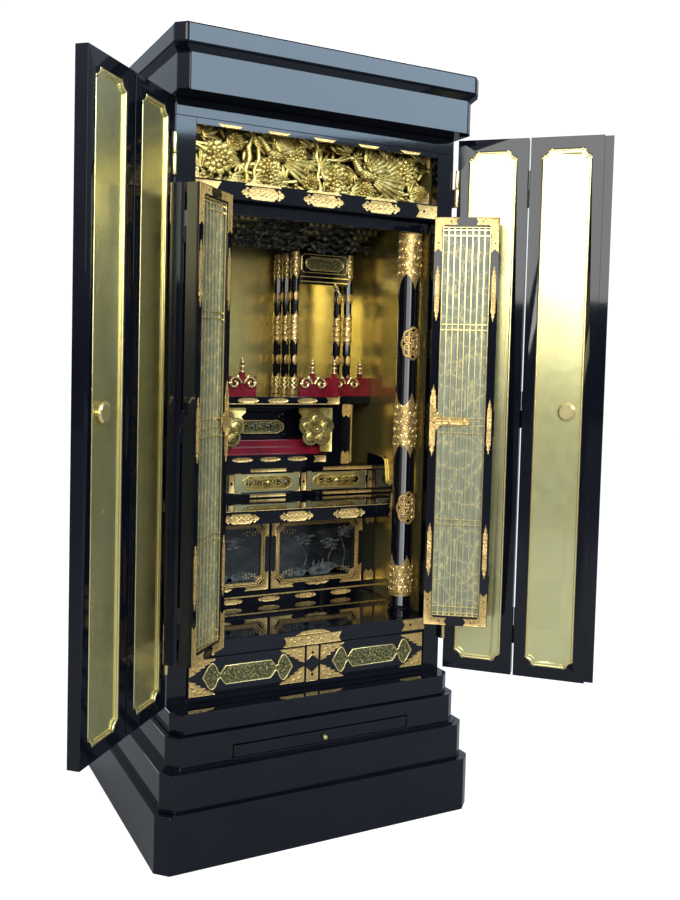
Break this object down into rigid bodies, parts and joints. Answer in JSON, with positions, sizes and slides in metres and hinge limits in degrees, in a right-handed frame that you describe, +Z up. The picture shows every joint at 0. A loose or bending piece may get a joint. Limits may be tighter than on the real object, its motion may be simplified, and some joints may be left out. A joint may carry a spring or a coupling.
{
  "type": "household altar cabinet",
  "caption": "Standing black lacquered household altar cabinet, gilded inside, with folding solid and lattice doors, drawers, railings and a small shrine.",
  "frame": {"origin": "middle of the plinth's underside, on the floor", "axes": "+X to the viewer's right, +Y from the doors to the back, +Z up"},
  "size_m": [1.1989, 0.7768, 1.6995],
  "materials": {
    "lacquer": "polished black lacquer",
    "gold_leaf": "gold leaf on lacquered board",
    "carved_gold": "carved wood under gold leaf",
    "gilt_metal": "gilt brass",
    "red_lacquer": "vermilion lacquer, darkened",
    "gauze": "pale silk gauze behind gold bars",
    "shaded_gold": "carved and gilded brackets, aged"
  },
  "bodies": {
    "cabinet": {"plinth_tier_1": "lacquer", "plinth_tier_2": "lacquer", "plinth_tier_3": "lacquer", "plinth_tier_4": "lacquer", "drawer_bay_floor": "lacquer", "front_post_left": "lacquer", "case_side_left": "lacquer", "column_left": "lacquer", "cupboard_panel_left": "lacquer", "altar_wing_left": "lacquer", "flower_bracket_left": "carved_gold", "altar_railing_left": "red_lacquer", "wing_railing_left": "red_lacquer", "shrine_frame_left": "lacquer", "front_post_right": "lacquer", "case_side_right": "lacquer", "column_right": "lacquer", "cupboard_panel_right": "lacquer", "altar_wing_right": "lacquer", "flower_bracket_right": "carved_gold", "altar_railing_right": "red_lacquer", "wing_railing_right": "red_lacquer", "shrine_frame_right": "lacquer", "sill_rail": "lacquer", "altar_floor": "lacquer", "gilded_lining": "gold_leaf", "head_rail": "lacquer", "lintel": "lacquer", "crown_block": "lacquer", "crown_slab": "lacquer", "cupboard": "lacquer", "polished_shelf": "lacquer", "lower_unit": "lacquer", "altar_base": "red_lacquer", "altar_waist": "lacquer", "altar_top": "lacquer", "shrine_roof": "shaded_gold", "transom_carving": "carved_gold"},
    "outer_left_1": {"outer_leaf_left_1": "lacquer", "outer_panel_left_1": "gold_leaf"},
    "outer_left_2": {"outer_leaf_left_2": "lacquer", "outer_panel_left_2": "gold_leaf", "outer_knob_left": "gilt_metal"},
    "outer_right_1": {"outer_leaf_right_1": "lacquer", "outer_panel_right_1": "gold_leaf"},
    "outer_right_2": {"outer_leaf_right_2": "lacquer", "outer_panel_right_2": "gold_leaf", "outer_knob_right": "gilt_metal"},
    "inner_left_1": {"inner_frame_left_1": "lacquer", "inner_lattice_left_1": "gauze"},
    "inner_left_2": {"inner_frame_left_2": "lacquer", "inner_lattice_left_2": "gauze"},
    "inner_right_1": {"inner_frame_right_1": "lacquer", "inner_lattice_right_1": "gauze"},
    "inner_right_2": {"inner_frame_right_2": "lacquer", "inner_lattice_right_2": "gauze"},
    "lower_drawer_left": {"lower_drawer_left": "lacquer"},
    "lower_drawer_right": {"lower_drawer_right": "lacquer"},
    "plinth_drawer": {"plinth_drawer": "lacquer", "plinth_drawer_knob": "gilt_metal"}
  },
  "joints": [
    {"name": "outer_left_1_hinge", "type": "hinge", "parent": "cabinet", "child": "outer_left_1", "pos_m": [-0.343, -0.226, 0.94], "axis": [0, 0, -1], "range_deg": [-133.5, 0]},
    {"name": "outer_left_2_hinge", "type": "hinge", "parent": "outer_left_1", "child": "outer_left_2", "pos_m": [-0.47574, -0.32957, 0.94], "axis": [0, 0, -1], "range_deg": [0, 168]},
    {"name": "inner_left_1_hinge", "type": "hinge", "parent": "cabinet", "child": "inner_left_1", "pos_m": [-0.2945, -0.22, 0.91], "axis": [0, 0, -1], "range_deg": [-129.01, 0.01]},
    {"name": "inner_left_2_hinge", "type": "hinge", "parent": "inner_left_1", "child": "inner_left_2", "pos_m": [-0.36113, -0.3552, 0.91], "axis": [0, 0, 1], "range_deg": [-173.01, 0.01]},
    {"name": "outer_right_1_hinge", "type": "hinge", "parent": "cabinet", "child": "outer_right_1", "pos_m": [0.343, -0.226, 0.94], "axis": [0, 0, 1], "range_deg": [-135, 0]},
    {"name": "outer_right_2_hinge", "type": "hinge", "parent": "outer_right_1", "child": "outer_right_2", "pos_m": [0.47841, -0.32606, 0.94], "axis": [0, 0, 1], "range_deg": [0, 168]},
    {"name": "inner_right_1_hinge", "type": "hinge", "parent": "cabinet", "child": "inner_right_1", "pos_m": [0.2945, -0.22, 0.91], "axis": [0, 0, 1], "range_deg": [-141.01, 0.01]},
    {"name": "inner_right_2_hinge", "type": "hinge", "parent": "inner_right_1", "child": "inner_right_2", "pos_m": [0.38778, -0.33839, 0.91], "axis": [0, 0, -1], "range_deg": [-176.01, 0.01]},
    {"name": "lower_drawer_left_slide", "type": "slide", "parent": "cabinet", "child": "lower_drawer_left", "axis": [0, -1, 0], "range_m": [0, 0.3]},
    {"name": "lower_drawer_right_slide", "type": "slide", "parent": "cabinet", "child": "lower_drawer_right", "axis": [0, -1, 0], "range_m": [0, 0.3]},
    {"name": "plinth_drawer_slide", "type": "slide", "parent": "cabinet", "child": "plinth_drawer", "axis": [0, -1, 0], "range_m": [0, 0.24]}
  ],
  "couplings": [
    {"joint": "inner_left_1_hinge", "follows": "outer_left_1_hinge", "ratio": 0.96629},
    {"joint": "inner_left_2_hinge", "follows": "outer_left_1_hinge", "ratio": 1.2959},
    {"joint": "inner_right_1_hinge", "follows": "outer_right_1_hinge", "ratio": 1.0444},
    {"joint": "inner_right_2_hinge", "follows": "outer_right_1_hinge", "ratio": 1.3037}
  ]
}
